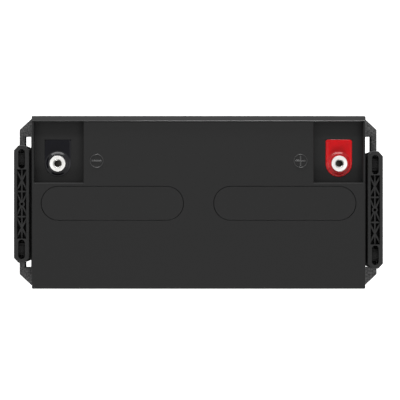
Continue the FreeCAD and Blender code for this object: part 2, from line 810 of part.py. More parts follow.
def weld(number, x):
    """A lead weld through a partition, from one cell's tab to the next one's."""
    plug = doc.addObject("Part::Cylinder", f"cell_weld_{number}")
    plug.Label = f"cell_weld_{number}"
    length = size.partition + size.fit * 2
    tie(plug, "Radius", size.weld_radius)
    tie(plug, "Height", length)
    plug.Placement.Rotation = FreeCAD.Rotation(FreeCAD.Vector(0, 1, 0), 90)
    place(plug, x - length / 2, terminal_y * weld_side(number - 1), weld_z)


# Handles

def grip(name, sign, back):
    """A moulded grip: a web and a foot on the rail, skirts that straddle it and a ribbed trough."""
    body = new_body(name)
    rail_middle = size.grip_inset * sign
    straight = grip_half - size.grip_tip
    corner = [(grip_side, straight), (size.grip_tip_half, grip_half)]
    right = corner[::-1] + [(x, -y) for x, y in corner]
    outline = sketch_on(body, "XY_Plane", web_bottom)
    polygon(outline, [(-x, y) for x, y in reversed(right)] + right)
    pad(body, outline, size.grip_height)
    tall = float(size.grip_height) / 2
    round_edges(body, size.grip_corner, lambda box: box.ZLength > tall)
    round_edges(body, size.grip_round, lambda box: near(box.ZMin, grip_top))

    # On the lid's side a foot closes the slot from above
    foot = sketch_on(body, "XY_Plane", web_bottom)
    foot_x = size.rail_out - size.grip_inset - size.foot_gap
    foot_end = grip_half - size.foot_slant
    tip_end = grip_half - size.fit
    tip = size.grip_tip_half
    foot_corners = [(tip, -tip_end), (foot_x, -foot_end), (foot_x, foot_end), (tip, tip_end)]
    polygon(foot, [(x * -sign, y) for x, y in foot_corners])
    pad(body, foot, size.grip_web)

    skirts = sketch_on(body, "XY_Plane", web_bottom)
    for side in (-1, 1):
        rectangle(skirts, rail_middle + slit_outer * side, -straight, grip_side * side, straight)
    pad(body, skirts, size.grip_skirt, backwards=True)

    # The trough, then the slanted ribs of its three bays, mirrored into crosses
    trough_half = grip_side - size.grip_wall
    truss_end = grip_half - size.truss_from_end
    trough = sketch_on(body, "XY_Plane", grip_top)
    rectangle(trough, -trough_half, -truss_end, trough_half, truss_end)
    pocket(body, trough, grip_top - web_top)
    middle_end = size.truss_middle / 2
    rib_height = grip_top - size.rib_drop - web_top
    slanted = sketch_on(body, "XY_Plane", web_top)
    reach = size.rib_slant / 2
    wall = trough_half + size.fit
    for front, rear in ((-truss_end, -middle_end), (-middle_end, middle_end), (middle_end, truss_end)):
        starts = [(-wall, front + reach * 2), (-wall, front)]
        polygon(slanted, starts + [(wall, rear - reach * 2), (wall, rear)])
    ribs = pad(body, slanted, rib_height)
    crossing = body.newObject("PartDesign::Mirrored", f"{name}_crossing")
    crossing.Originals = [ribs]
    crossing.MirrorPlane = (origin_item(body, "YZ_Plane"), [""])
    body.Tip = crossing
    across = sketch_on(body, "XY_Plane", web_top)
    for y in (-middle_end, middle_end):
        rectangle(across, -wall, y - size.rib / 2, wall, y + size.rib / 2)
    pad(body, across, rib_height)
    spine = sketch_on(body, "XY_Plane", web_top)
    half_spine = size.spine / 2
    rectangle(spine, -half_spine, -truss_end - size.fit, half_spine, truss_end + size.fit)
    pad(body, spine, rib_height)
    hub = sketch_on(body, "XY_Plane", web_top)
    circle(hub, 0, 0, size.hub_radius)
    pad(body, hub, rib_height)
    hub_hole = sketch_on(body, "XY_Plane", grip_top)
    circle(hub_hole, 0, 0, size.hub_bore)
    pocket(body, hub_hole, size.grip_height + size.seat)

    # At each end a mouth in the top opens into a chamber, where the band crosses a bar between two slits and
    # a hole lies past each end of the bar
    mouths = sketch_on(body, "XY_Plane", grip_top)
    chambers = sketch_on(body, "XY_Plane", grip_top - size.pocket_skin)
    bars = sketch_on(body, "XY_Plane", web_top)
    slits = sketch_on(body, "XY_Plane", web_top)
    holes = sketch_on(body, "XY_Plane", web_top)
    mouth_radius = size.pocket_width / 2
    chamber_half = size.pocket_length / 2
    for middle in (-pocket_y, pocket_y):
        obround(mouths, 0, middle, chamber_half - mouth_radius, mouth_radius, along_y=True)
        front = middle - chamber_half
        rear = middle + chamber_half
        rectangle(chambers, rail_middle - slit_outer, front, rail_middle + slit_outer, rear)
        for side in (-1, 1):
            inner = rail_middle + bar_half * side
            outer = rail_middle + slit_outer * side
            rectangle(slits, inner, middle - slit_half, outer, middle + slit_half)
        bar_ends = (middle - slit_half, middle + slit_half)
        rectangle(bars, rail_middle - bar_half, bar_ends[0], rail_middle + bar_half, bar_ends[1])
        for low, high in ((front, middle - hole_start), (middle + hole_start, rear)):
            rectangle(holes, rail_middle - hole_half, low, rail_middle + hole_half, high)
    pocket(body, mouths, size.pocket_skin)
    pocket(body, chambers, grip_top - size.pocket_skin - web_top)
    pocket(body, slits, size.grip_web)
    pocket(body, holes, size.grip_web)
    pad(body, bars, size.bar_rise)
    place(body, (rail_x - size.grip_inset) * sign, back)


def band(name, sign, back):
    """A flat closed band over a grip's bar and loosely round the rail."""
    body = new_body(name)
    loop = sketch_on(body, "XZ_Plane")
    top = bar_top + size.seat
    bottom = rail_bottom - size.band_slack
    skin = size.band_thickness
    rounded_rectangle(loop, -band_inner, bottom, band_inner, top, size.band_bend)
    rounded_rectangle(loop, -band_outer, bottom - skin, band_outer, top + skin, size.band_bend + skin)
    pad(body, loop, size.band_width, both_ways=True)
    place(body, rail_x * sign, back)


container()
sealing_bead()
lid()
for end, sign in (("left", -1), ("right", 1)):
    vent_cover(f"vent_cover_{end}", sign)
for number, x in enumerate(valve_places(), start=1):
    valve_cap(number, x)
for pole, sign in (("negative", -1), ("positive", 1)):
    terminal(pole, sign)
    terminal_seal(pole, sign)
    seal_ring(pole, sign)
    post(pole, sign)
for number in range(cell_total):
    x = first_cell + cell_pitch * number
    separator(number + 1, x)
    plate_group("positive", number + 1, x, weld_side(number), number == cell_total - 1)
    plate_group("negative", number + 1, x, -weld_side(number), number == 0)
for number in range(1, cell_total):
    weld(number, first_cell + cell_pitch * (number - 0.5))
for end, sign, back in (("left", -1, size.left_grip_back), ("right", 1, size.right_grip_back)):
    grip(f"grip_{end}", sign, back)
    band(f"band_{end}_front", sign, back - pocket_y)
    band(f"band_{end}_rear", sign, back + pocket_y)

doc.recompute()
for item in doc.Objects:
    if {"Invalid", "Error"} & set(item.State):
        raise RuntimeError(f"{item.Name} is {item.State}")

pieces = [item for item in doc.Objects if item.TypeId in ("PartDesign::Body", "Part::Cylinder")]
os.makedirs("parts", exist_ok=True)
for piece in pieces:
    shape = piece.Shape
    if shape.isNull() or not shape.isValid() or len(shape.Solids) != 1:
        raise RuntimeError(f"{piece.Label} isn't one valid solid")
for piece in pieces:
    piece.Shape.exportStep(f"parts/{piece.Label}.step")
    print(piece.Label, round(piece.Shape.Volume), piece.Shape.BoundBox)
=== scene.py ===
import math

import bmesh
import bpy
from bpy.props import FloatProperty, FloatVectorProperty, PointerProperty
from mathutils import Matrix, Vector


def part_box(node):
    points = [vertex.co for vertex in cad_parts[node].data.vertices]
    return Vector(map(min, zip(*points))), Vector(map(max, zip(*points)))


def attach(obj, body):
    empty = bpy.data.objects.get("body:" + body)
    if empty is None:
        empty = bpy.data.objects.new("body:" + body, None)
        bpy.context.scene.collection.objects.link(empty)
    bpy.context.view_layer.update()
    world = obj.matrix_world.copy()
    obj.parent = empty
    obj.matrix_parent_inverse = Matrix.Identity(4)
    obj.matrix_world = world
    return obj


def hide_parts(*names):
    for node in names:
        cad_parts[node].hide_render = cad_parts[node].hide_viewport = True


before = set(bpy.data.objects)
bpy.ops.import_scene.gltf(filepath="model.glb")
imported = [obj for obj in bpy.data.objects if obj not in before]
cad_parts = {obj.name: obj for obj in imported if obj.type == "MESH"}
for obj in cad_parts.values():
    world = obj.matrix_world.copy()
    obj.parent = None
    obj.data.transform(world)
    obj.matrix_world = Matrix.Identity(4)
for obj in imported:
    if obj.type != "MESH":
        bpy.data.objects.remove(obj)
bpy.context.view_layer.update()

bl_info = {
    "name": "Stand-by battery",
    "version": (1, 0, 0),
    "blender": (4, 5, 0),
    "location": "View3D > Sidebar > Battery",
    "description": "Dresses the packed model of a sealed stand-by battery",
    "category": "Object",
}

MM = 0.001
POLES = {"negative": -1, "positive": 1}
ENDS = ("left", "right")

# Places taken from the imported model
LID_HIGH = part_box("lid")[1]
LID_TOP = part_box("vent_cover_left")[1].z
CONTAINER_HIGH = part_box("container")[1]

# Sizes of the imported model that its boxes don't show
FLANGE_STEP = 2.3 * MM
LIP_WIDTH = 5.3 * MM
BAY_WALL_FROM_TERMINAL = 26 * MM

# A small clearance, and how many sides round pieces have
MARGIN = 0.1 * MM
ROUND_SIDES = 96
SIGN_SIDES = 72
THREAD_SIDES = 36

# The resin's slope starts inside the collar's rim, its gloss fades past the slope's foot, it creeps up near
# the well's walls, and it lies just clear of the collar
SLOPE_INSET = 1 * MM
SLOPE_STEPS = 6
GLOSS_FADE = 1 * MM
CREEP = 1 * MM
COLLAR_GAP = 0.02 * MM

# The stage, with each lamp's name, place, width and depth in metres, and the look that holds its watts
FLOOR_HALF = 6.0
FLOOR_GAP = 0.2 * MM
SENSOR = 36.0
NEAREST_SEEN = 0.05
LAMPS = (
    ("rear_key", (0, 1.5, 0.35), 0.8, 0.2, "key"),
    ("rear_strip", (-0.055, 0.52, 0.57), 0.9, 0.1, "strip"),
    ("front_rim", (0.15, -1.25, 1.0), 0.5, 0.4, "rim"),
    ("side_fill", (-0.9, -0.1, 1.9), 0.8, 0.8, "fill"),
    ("side_fill", (0.9, -0.1, 1.9), 0.8, 0.8, "fill"),
)


def linear(hexadecimal):
    """An sRGB hex colour as the linear red, green and blue that shaders take."""
    channels = [int(hexadecimal[i:i + 2], 16) / 255 for i in (1, 3, 5)]
    return tuple(c / 12.92 if c <= 0.04045 else ((c + 0.055) / 1.055) ** 2.4 for c in channels)


def colour(name, about, default):
    """A colour that the panel shows, given as sRGB hex."""
    return FloatVectorProperty(name=name, description=about, subtype="COLOR", size=3, min=0, max=1,
                               default=linear(default))


def length(name, about, default):
    """A length that the panel shows, given in millimetres."""
    return FloatProperty(name=name, description=about, subtype="DISTANCE", unit="LENGTH", min=0,
                         default=default * MM, precision=5)


def metres(name, about, default):
    """A place or a width on the stage, given in metres."""
    return FloatProperty(name=name, description=about, subtype="DISTANCE", unit="LENGTH", default=default,
                         precision=4)


def amount(name, about, default):
    """A strength, a share or a lamp's watts."""
    return FloatProperty(name=name, description=about, default=default)


class CaseLooks(bpy.types.PropertyGroup):
    plastic: colour("Case plastic", "Moulded body and lid", "#1c1c1c")
    # Painted light: much paler than the case's plastic, given to the upward faces of the flanges and rails
    # for the light they catch
    flange_lit: colour("Flange plastic", "Grained flanges and rails at the lid's ends", "#555555")
    # Painted light: a touch lighter than the case's plastic, standing in for the light from the rear on the
    # lip's slope
    lip: colour("Lip plastic", "Polished top of the rear lip", "#1e1e1e")
    # Painted light: lighter than the case's plastic, standing in for the highlights on the raised signs
    polished: colour("Polished plastic", "Raised signs", "#2e2e2e")
    lip_gloss: amount("Lip gloss", "Share of full gloss on the rear lip", 0.38)
    crest_round: length("Crest round", "Round along the front of the lip, fully polished", 1.0)
    edge: length("Edge round", "Small round on the lid's and container's edges", 0.25)
    cover_round: length("Cover round", "Round on the vent covers' edges", 0.45)
    grain: length("Grain", "Spark-eroded grain of the lid's skin", 0.9)
    flange_grain: length("Flange grain", "Coarser grain of the flanges", 1.8)
    sign_radius: length("Sign radius", "Ring round a polarity sign", 6.4)
    sign_ring: length("Sign ring", "Width of the ring's line", 0.7)
    sign_bar: length("Sign bar", "Length of a sign's bars", 10.2)
    sign_line: length("Sign line", "Width of the sign's bars", 1.6)
    sign_rise: length("Sign rise", "Height of the sign over the lid", 0.4)
    sign_bevel: length("Sign bevel", "Bevelled edges of the sign", 0.25)
    sign_from_bay: length("Sign from bay", "Sign's middle inwards of the bay's inner wall", 13.2)
    sign_from_rear: length("Sign from rear", "Sign's middle in front of the lid's rear face", 44.4)


class TerminalLooks(bpy.types.PropertyGroup):
    tin: colour("Tin plating", "Plated, turned terminals", "#e4e3e0")
    # Painted shade: the dark colour the thread takes deeper down the bore, standing in for the shade in the
    # hole
    bore_shade: colour("Greased thread", "Dark thread inside the terminals", "#46443f")
    head_radius: length("Head radius", "Terminal's head", 7.9)
    head_height: length("Head height", "Head above the collar", 5.0)
    stem_radius: length("Stem radius", "Terminal's stem", 6.0)
    stem_height: length("Stem height", "Stem below the collar", 7.0)
    bevel: length("Bevel", "Edges of the head", 0.5)
    fillet: length("Fillet", "Foot of the head and rim of its mouth", 0.15)
    countersink: length("Countersink", "Mouth of the bore beyond the thread's root", 0.35)
    bore_radius: length("Bore radius", "Threaded hole at the thread's root", 4.0)
    core_radius: length("Core radius", "Threaded hole at the thread's crest", 3.4)
    bore_depth: length("Bore depth", "Threaded hole from its mouth", 14.0)
    pitch: length("Pitch", "Rise of the thread in one turn", 1.25)
    thread_start: length("Thread start", "Depth of the thread's upper end", 0.4)
    # Painted shade in the bore: none above the first depth, full from the second
    unshaded_mouth: length("Clean mouth", "Depth of the thread that stays free of grease", 0.8)
    shaded_from: length("Greased from", "Depth from which the thread is fully greased", 2.0)
    tool_rings: length("Tool rings", "Spacing of the rings that the tool left", 0.5)
    black: colour("Black resin", "Resin round the negative terminal", "#0c0c14")
    red: colour("Red resin", "Resin round the positive terminal", "#e21018")
    wet: amount("Wet slope", "Gloss of the resin's slope off the collar", 0.38)
    black_climb: length("Black climb", "Rise of the black resin at the walls", 0.3)
    red_climb: length("Red climb", "Rise of the red resin at the walls", 0.9)
    film: length("Film", "Resin over the terminal's collar", 0.35)
    cone: length("Cone", "Width of the resin's slope off the collar", 2.7)


class HandleLooks(bpy.types.PropertyGroup):
    plastic: colour("Grip plastic", "Satin moulded grips", "#2e2e2e")
    # Painted shade: dark colour that stands in for the shade in the grips' recesses and pockets
    recess_shade: colour("Recess", "Grips between their ribs", "#0e0e0e")
    rib_drop: length("Rib drop", "Ribs' tops below the grip's rim", 3)
    recess_drop: length("Recess drop", "Depth below the ribs' tops at which the recess starts", 0.5)
    edge: length("Edge round", "Small round on the grip's edges", 0.12)
    strap: colour("Strap", "Moulded bands that hold the grips", "#121212")
    strap_thickness: length("Strap thickness", "Thickness of a strap", 1.5)
    strap_bend: length("Strap bend", "Inner bend of a strap", 0.8)
    strap_edge: length("Strap edge", "Round on a strap's edges", 0.45)
    rib: length("Strap rib", "Spacing of the ribs along a strap", 1.3)


class InsideLooks(bpy.types.PropertyGroup):
    lead: colour("Lead", "Cast buses, welds and posts", "#7d8086")
    paste: colour("Positive paste", "Brown lead dioxide plates", "#4a3226")
    mat: colour("Glass mat", "Felted separators", "#dcdcd2")
    rubber: colour("Rubber", "Valve caps and sealing rings", "#1a1a1a")
    epoxy: colour("Adhesive", "Bead between case and lid", "#3a3a3c")


class StageLooks(bpy.types.PropertyGroup):
    ground: colour("Ground", "Floor round the battery", "#fafafa")
    camera_height: metres("Camera height", "Camera above the lid", 1.3)
    camera_x: metres("Camera X", "Camera's place along the battery", -0.030)
    camera_y: metres("Camera Y", "Camera's place across the battery", 0.025)
    view_x: metres("View X", "Middle of the view at the lid, along the battery", 0.0014)
    view_y: metres("View Y", "Middle of the view at the lid, across the battery", 0.0024)
    view_width: metres("View width", "Width of the view at the lid", 0.3955)
    lift: amount("Floor lift", "Light added where the floor is seen", 0.75)
    key: amount("Key", "Low light from the rear, in watts", 24.0)
    strip: amount("Strip", "Strip light that draws arcs on the resin, in watts", 1.8)
    rim: amount("Rim", "Light from the front for the lip's crest, in watts", 12.0)
    fill: amount("Fill", "Soft light from each side, in watts", 2.0)
    sky: amount("Sky", "Strength of the room's own light", 0.15)


def add_node(tree, kind, sockets=None, **settings):
    """Adds a node with its settings; each socket takes a value or another node's output."""
    node = tree.nodes.new(f"ShaderNode{kind}")
    for name, value in settings.items():
        setattr(node, name, value)
    for socket, value in (sockets or {}).items():
        if isinstance(value, bpy.types.NodeSocket):
            tree.links.new(value, node.inputs[socket])
        else:
            node.inputs[socket].default_value = value
    return node


def new_finish(name, base, **shader):
    """A material with its shader's own values: its node tree, its shader and its object coordinates."""
    material = bpy.data.materials.new(name)
    material.use_nodes = True
    tree = material.node_tree
    principled = tree.nodes["Principled BSDF"]
    principled.inputs["Base Color"].default_value = (*base, 1)
    for socket, value in shader.items():
        principled.inputs[socket.replace("_", " ")].default_value = value
    return material, tree, principled, add_node(tree, "TexCoord").outputs["Object"]


def tone(base, share):
    """A colour darkened or lightened by a share, as shaders' sockets take it."""
    return (*(min(1, c * share) for c in base), 1)


def blend(tree, share, first, second):
    """The first colour where the share is 0, turning into the second where it is 1."""
    return add_node(tree, "Mix", {0: share, 6: first, 7: second}, data_type="RGBA").outputs[2]


def compute(tree, operation, *numbers):
    """The result of a Math node."""
    return add_node(tree, "Math", dict(enumerate(numbers)), operation=operation).outputs[0]


def spread(tree, value, low, high, start=0.0, end=1.0):
    """A value that runs from low to high while the given one runs from start to end."""
    limits = {"From Min": start, "From Max": end, "To Min": low, "To Max": high}
    return add_node(tree, "MapRange", {"Value": value, **limits}).outputs["Result"]


def clouds(tree, place, spacing, detail):
    """Noise whose clouds lie a spacing apart."""
    sockets = {"Vector": place, "Scale": 1 / spacing, "Detail": detail}
    return add_node(tree, "TexNoise", sockets).outputs["Fac"]


def waves(tree, distance, spacing):
    """A sine wave along a distance."""
    return compute(tree, "SINE", compute(tree, "MULTIPLY", distance, 2 * math.pi / spacing))


def relief(tree, principled, height, depth, strength, edge=0.0):
    """Gives a shader fine relief, and rounds the look of sharp edges where edge is set."""
    sockets = {"Height": height, "Distance": depth, "Strength": strength}
    if edge:
        sockets["Normal"] = add_node(tree, "Bevel", {"Radius": edge}, samples=6).outputs["Normal"]
    tree.links.new(add_node(tree, "Bump", sockets).outputs["Normal"], principled.inputs["Normal"])


def mottle(tree, principled, place, base, spacing, tones, gloss, depth, detail=3.0, edge=0.0):
    """Gives a finish its mottled colour, uneven gloss and fine relief, all from one noise, and returns the
    colour's output."""
    noise = clouds(tree, place, spacing, detail)
    mottled = blend(tree, noise, tone(base, tones[0]), tone(base, tones[1]))
    tree.links.new(mottled, principled.inputs["Base Color"])
    tree.links.new(spread(tree, noise, *gloss), principled.inputs["Roughness"])
    relief(tree, principled, noise, depth, 0.6, edge)
    return mottled


def upward(tree):
    """1 on faces that look up, 0 on upright ones and those that look down."""
    normal = add_node(tree, "NewGeometry").outputs["True Normal"]
    rise = add_node(tree, "SeparateXYZ", {0: normal}).outputs["Z"]
    return spread(tree, rise, 0.0, 1.0, start=0.3, end=0.7)


def case_plastic(looks):
    """ABS from a spark-eroded mould: matt, even and dark grey, with a coarser grain on top of the flanges and
    rails, painted much paler there as painted light, and a polished rear lip, painted a touch lighter as
    painted light, that catches the light along its crest."""
    material, tree, principled, place = new_finish("spark_textured_abs", looks.plastic, IOR=1.54,
                                                   Specular_IOR_Level=0.2, Coat_Roughness=0.18, Coat_IOR=1.54)
    skin = clouds(tree, place, looks.grain, 2)
    smooth_top = blend(tree, skin, tone(looks.plastic, 0.96), tone(looks.plastic, 1.04))
    # Painted light: upward faces of the flanges and rails take a much paler, speckled colour; the specks are
    # their coarser grain, the paleness stands in for the light they catch
    specks = spread(tree, clouds(tree, place, looks.flange_grain, 1), 0.0, 1.0, start=0.35, end=0.65)
    painted_light_flange_top = blend(tree, specks, tone(looks.flange_lit, 0.55), tone(looks.flange_lit, 1.6))
    axes = add_node(tree, "SeparateXYZ", {0: place}).outputs
    out = compute(tree, "ABSOLUTE", axes["X"])
    beyond = compute(tree, "GREATER_THAN", out, CONTAINER_HIGH.x + FLANGE_STEP)
    painted_light_on_flange = compute(tree, "MULTIPLY", beyond, upward(tree))
    on_lip = compute(tree, "GREATER_THAN", axes["Z"], LID_TOP + MARGIN)
    body = blend(tree, painted_light_on_flange, smooth_top, painted_light_flange_top)
    # Painted light: the lip takes its slightly lighter colour
    tree.links.new(blend(tree, on_lip, body, (*looks.lip, 1)), principled.inputs["Base Color"])
    on_round = compute(tree, "LESS_THAN", axes["Y"], LID_HIGH.y - LIP_WIDTH + looks.crest_round)
    gloss = spread(tree, on_round, looks.lip_gloss, 1.0)
    tree.links.new(compute(tree, "MULTIPLY", on_lip, gloss), principled.inputs["Coat Weight"])
    tree.links.new(spread(tree, skin, 0.55, 0.65), principled.inputs["Roughness"])
    relief(tree, principled, skin, 0.02 * MM, 0.5, looks.edge)
    return material


def cover_plastic(looks):
    """The same ABS from a smaller mould, a touch smoother, so that the covers show by their edges."""
    material, tree, principled, place = new_finish("moulded_abs_cover", looks.plastic, IOR=1.54,
                                                   Specular_IOR_Level=0.2)
    mottle(tree, principled, place, looks.plastic, spacing=looks.grain, tones=(0.96, 1.04), gloss=(0.5, 0.6),
           depth=0.02 * MM)
    return material


def polished_plastic(looks):
    """The ABS where the mould was polished, on the signs: it mirrors the pale room, and its colour is painted
    lighter than the case's plastic as painted light, so it reads lighter.
    """
    material, tree, principled, place = new_finish("mould_polished_abs", looks.polished, IOR=1.54)
    mottle(tree, principled, place, looks.polished, spacing=looks.grain, tones=(0.95, 1.05),
           gloss=(0.25, 0.35), depth=0.01 * MM)
    return material


def grip_plastic(looks):
    """Satin polypropylene: a soft sheen on the rounded edges, faint scuffs where hands and shelves rub, and
    painted
    shade: a darker colour on the upward faces in the recesses between the ribs and in the pockets."""
    material, tree, principled, place = new_finish("satin_polypropylene", looks.plastic, IOR=1.49,
                                                   Specular_IOR_Level=0.18)
    rubbed = mottle(tree, principled, place, looks.plastic, spacing=5 * MM, tones=(0.8, 1.2),
                    gloss=(0.4, 0.55), depth=0.03 * MM, detail=5.0, edge=looks.edge)
    height = add_node(tree, "SeparateXYZ", {0: place}).outputs["Z"]
    # Painted shade: upward faces below the ribs' tops take the dark recess colour, standing in for the shade
    # between the ribs and in the pockets
    rib_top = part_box("grip_left")[1].z - looks.rib_drop
    low = compute(tree, "LESS_THAN", height, rib_top - looks.recess_drop)
    recess_shade = compute(tree, "MULTIPLY", low, upward(tree))
    tree.links.new(blend(tree, recess_shade, rubbed, (*looks.recess_shade, 1)), principled.inputs["Base Color"])
    return material


def ribbed_strap(looks):
    """Moulded elastomer: dull black, with fine ribs across the band that keep it from slipping."""
    material, tree, principled, place = new_finish("ribbed_elastomer", looks.strap, IOR=1.5,
                                                   Specular_IOR_Level=0.12)
    mottle(tree, principled, place, looks.strap, spacing=3 * MM, tones=(0.85, 1.15), gloss=(0.5, 0.65),
           depth=0.02 * MM)
    across = add_node(tree, "SeparateXYZ", {0: place}).outputs["Y"]
    relief(tree, principled, waves(tree, across, looks.rib), 0.1 * MM, 0.7)
    return material


def collar_radius():
    """Radius of a terminal's collar."""
    low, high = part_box("terminal_positive")
    return (high.x - low.x) / 2


def terminal_axis(pole):
    """A terminal's axis, at the floor."""
    low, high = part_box(f"terminal_{pole}")
    return Vector(((low.x + high.x) / 2, (low.y + high.y) / 2, 0))


def bay_inner_wall():
    """Distance of a bay's inner wall from the middle."""
    return terminal_axis("positive").x - BAY_WALL_FROM_TERMINAL


def slope_start():
    """Radius at which the resin starts to fall off a collar."""
    return collar_radius() - SLOPE_INSET


def terminal_radius(tree, place):
    """Distance from the nearer terminal's axis."""
    axes = add_node(tree, "SeparateXYZ", {0: place}).outputs
    level = add_node(tree, "CombineXYZ", {0: compute(tree, "ABSOLUTE", axes["X"]), 1: axes["Y"]}).outputs[0]
    nearer = {0: level, 1: terminal_axis("positive")}
    return add_node(tree, "VectorMath", nearer, operation="DISTANCE").outputs["Value"]


def turned_tin(looks):
    """Tin-plated brass, turned: bright, nearly white faces with rings left by the tool, drawn wide enough to
    show, and painted shade that darkens the thread deeper down the bore."""
    material, tree, principled, place = new_finish("turned_tin_plated_brass", looks.tin, Metallic=1.0)
    radius = terminal_radius(tree, place)
    dull = clouds(tree, place, 2.5 * MM, 4)
    plated = blend(tree, dull, tone(looks.tin, 0.86), tone(looks.tin, 1))
    # Painted shade: the thread in the bore darkens with depth, standing in for the shade inside the hole
    in_bore = compute(tree, "LESS_THAN", radius, looks.bore_radius + MARGIN)
    height = add_node(tree, "SeparateXYZ", {0: place}).outputs["Z"]
    head_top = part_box("terminal_positive")[1].z
    full, none = head_top - looks.shaded_from, head_top - looks.unshaded_mouth
    bore_shade = compute(tree, "MULTIPLY", in_bore, spread(tree, height, 1.0, 0.0, start=full, end=none))
    tree.links.new(blend(tree, bore_shade, plated, tone(looks.bore_shade, 1)), principled.inputs["Base Color"])
    tree.links.new(spread(tree, dull, 0.3, 0.42), principled.inputs["Roughness"])
    relief(tree, principled, waves(tree, radius, looks.tool_rings), 0.01 * MM, 0.4)
    return material


def poured_resin(name, base, looks):
    """Epoxy poured into the well: coloured through, with slow waves where it set, and glossiest on its slope
    round the terminal, where it crept up last and draws an arc of light."""
    material, tree, principled, place = new_finish(name, base, IOR=1.5, Specular_IOR_Level=0.14,
                                                   Coat_Roughness=0.12)
    mottle(tree, principled, place, base, spacing=6 * MM, tones=(0.85, 1.12), gloss=(0.08, 0.14),
           depth=0.12 * MM)
    foot = slope_start() + looks.cone
    gloss = spread(tree, terminal_radius(tree, place), looks.wet, 0.0, start=foot, end=foot + GLOSS_FADE)
    tree.links.new(gloss, principled.inputs["Coat Weight"])
    return material


def cast_lead(looks):
    """Cast lead: dull blue-grey with a mottled oxide skin."""
    material, tree, principled, place = new_finish("cast_lead", looks.lead, Metallic=1.0)
    mottle(tree, principled, place, looks.lead, spacing=5 * MM, tones=(0.6, 1.0), gloss=(0.45, 0.7),
           depth=0.1 * MM, detail=5.0)
    return material


def pasted_plate(looks):
    """Lead dioxide paste pressed into a grid: dark brown, chalky and crumbly."""
    material, tree, principled, place = new_finish("pasted_positive_plate", looks.paste,
                                                   Specular_IOR_Level=0.2)
    mottle(tree, principled, place, looks.paste, spacing=3 * MM, tones=(0.65, 1.25), gloss=(0.85, 0.95),
           depth=0.15 * MM, detail=5.0)
    return material


def glass_mat(looks):
    """Absorbent glass mat: white felt of fine fibres, with a soft sheen."""
    material, tree, principled, place = new_finish("felted_glass_mat", looks.mat, Specular_IOR_Level=0.15,
                                                   Sheen_Weight=0.3)
    mottle(tree, principled, place, looks.mat, spacing=1.2 * MM, tones=(0.8, 1.0), gloss=(0.9, 0.98),
           depth=0.15 * MM, detail=5.0)
    return material


def soft_rubber(looks):
    """Moulded EPDM rubber: very dark and dusty."""
    material, tree, principled, place = new_finish("moulded_epdm_rubber", looks.rubber,
                                                   Specular_IOR_Level=0.25)
    mottle(tree, principled, place, looks.rubber, spacing=3 * MM, tones=(0.9, 1.5), gloss=(0.7, 0.85),
           depth=0.03 * MM, detail=4.0)
    return material


def cured_adhesive(looks):
    """Cured epoxy adhesive: grey, half gloss, slightly uneven."""
    material, tree, principled, place = new_finish("cured_epoxy_adhesive", looks.epoxy, IOR=1.56)
    mottle(tree, principled, place, looks.epoxy, spacing=8 * MM, tones=(0.8, 1.1), gloss=(0.35, 0.5),
           depth=0.1 * MM)
    return material


def round_edges(piece, width, steeper_than, segments):
    """Adds a modifier that rounds a piece's edges where they are steeper than an angle in degrees."""
    edges = piece.modifiers.new("edges", "BEVEL")
    edges.limit_method = "ANGLE"
    edges.angle_limit = math.radians(steeper_than)
    edges.width = width
    edges.segments = segments
    edges.use_clamp_overlap = False
    return edges


def dress(names, finish, edge=0.0):
    """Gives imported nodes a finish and, where edge is set, rounds their sharp edges by it."""
    for name in names:
        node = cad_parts[name]
        if not node.material_slots:
            node.data.materials.append(finish)
        for slot in node.material_slots:
            slot.material = finish
        if edge:
            weld = node.modifiers.new("weld", "WELD")
            weld.merge_threshold = 0.01 * MM
            flats = node.modifiers.new("flats", "DECIMATE")
            flats.decimate_type = "DISSOLVE"
            flats.angle_limit = math.radians(1)
            round_edges(node, edge, 35, 2).harden_normals = True


def new_piece(name, shape, finish, body, replaced=()):
    """Makes a mesh piece from a bmesh, puts its finish on and fixes it to a body."""
    bmesh.ops.remove_doubles(shape, verts=shape.verts, dist=0.001 * MM)
    bmesh.ops.recalc_face_normals(shape, faces=shape.faces)
    mesh = bpy.data.meshes.new(name)
    shape.to_mesh(mesh)
    shape.free()
    mesh.materials.append(finish)
    piece = bpy.data.objects.new(name, mesh)
    bpy.context.scene.collection.objects.link(piece)
    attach(piece, body)
    if replaced:
        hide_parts(*replaced)
    return piece


def smooth(shape, steeper_than):
    """Shades a bmesh smooth but for the edges that are steeper than an angle in degrees."""
    shape.normal_update()
    for face in shape.faces:
        face.smooth = True
    for edge in shape.edges:
        edge.smooth = edge.is_manifold and edge.calc_face_angle(0) < math.radians(steeper_than)


def edges_at(verts):
    """The edges that meet some vertices, each once and always in the same order."""
    return list(dict.fromkeys(edge for vert in verts for edge in vert.link_edges))


def box_in(shape, centre, size, bevel):
    """Adds a box with bevelled edges."""
    place = Matrix.Translation(centre) @ Matrix.Diagonal((*size, 1))
    made = bmesh.ops.create_cube(shape, size=1, matrix=place)
    bmesh.ops.bevel(shape, geom=edges_at(made["verts"]), offset=bevel, offset_type="OFFSET", affect="EDGES",
                    segments=2, profile=0.5, material=-1)


def turn(shape, points, centre, steps, closed=False):
    """Spins an outline of radius and height pairs about an upright axis."""
    verts = [shape.verts.new((centre.x + radius, centre.y, height)) for radius, height in points]
    ends = zip(verts, verts[1:] + verts[:1]) if closed else zip(verts, verts[1:])
    edges = [shape.edges.new(pair) for pair in ends]
    bmesh.ops.spin(shape, geom=verts + edges, cent=centre, axis=(0, 0, 1), angle=2 * math.pi, steps=steps,
                   use_merge=True, use_duplicate=False)


class BatteryTool:
    """What the battery's operators share."""

    bl_options = {"REGISTER", "UNDO"}


class BATTERY_OT_case(BatteryTool, bpy.types.Operator):
    """Finish the container, lid and vent covers"""

    bl_idname = "battery.case"
    bl_label = "Case, lid and covers"

    def execute(self, context):
        looks = context.scene.battery_case
        dress(["container", "lid"], case_plastic(looks))
        dress(["vent_cover_left", "vent_cover_right"], cover_plastic(looks), looks.cover_round)
        return {"FINISHED"}


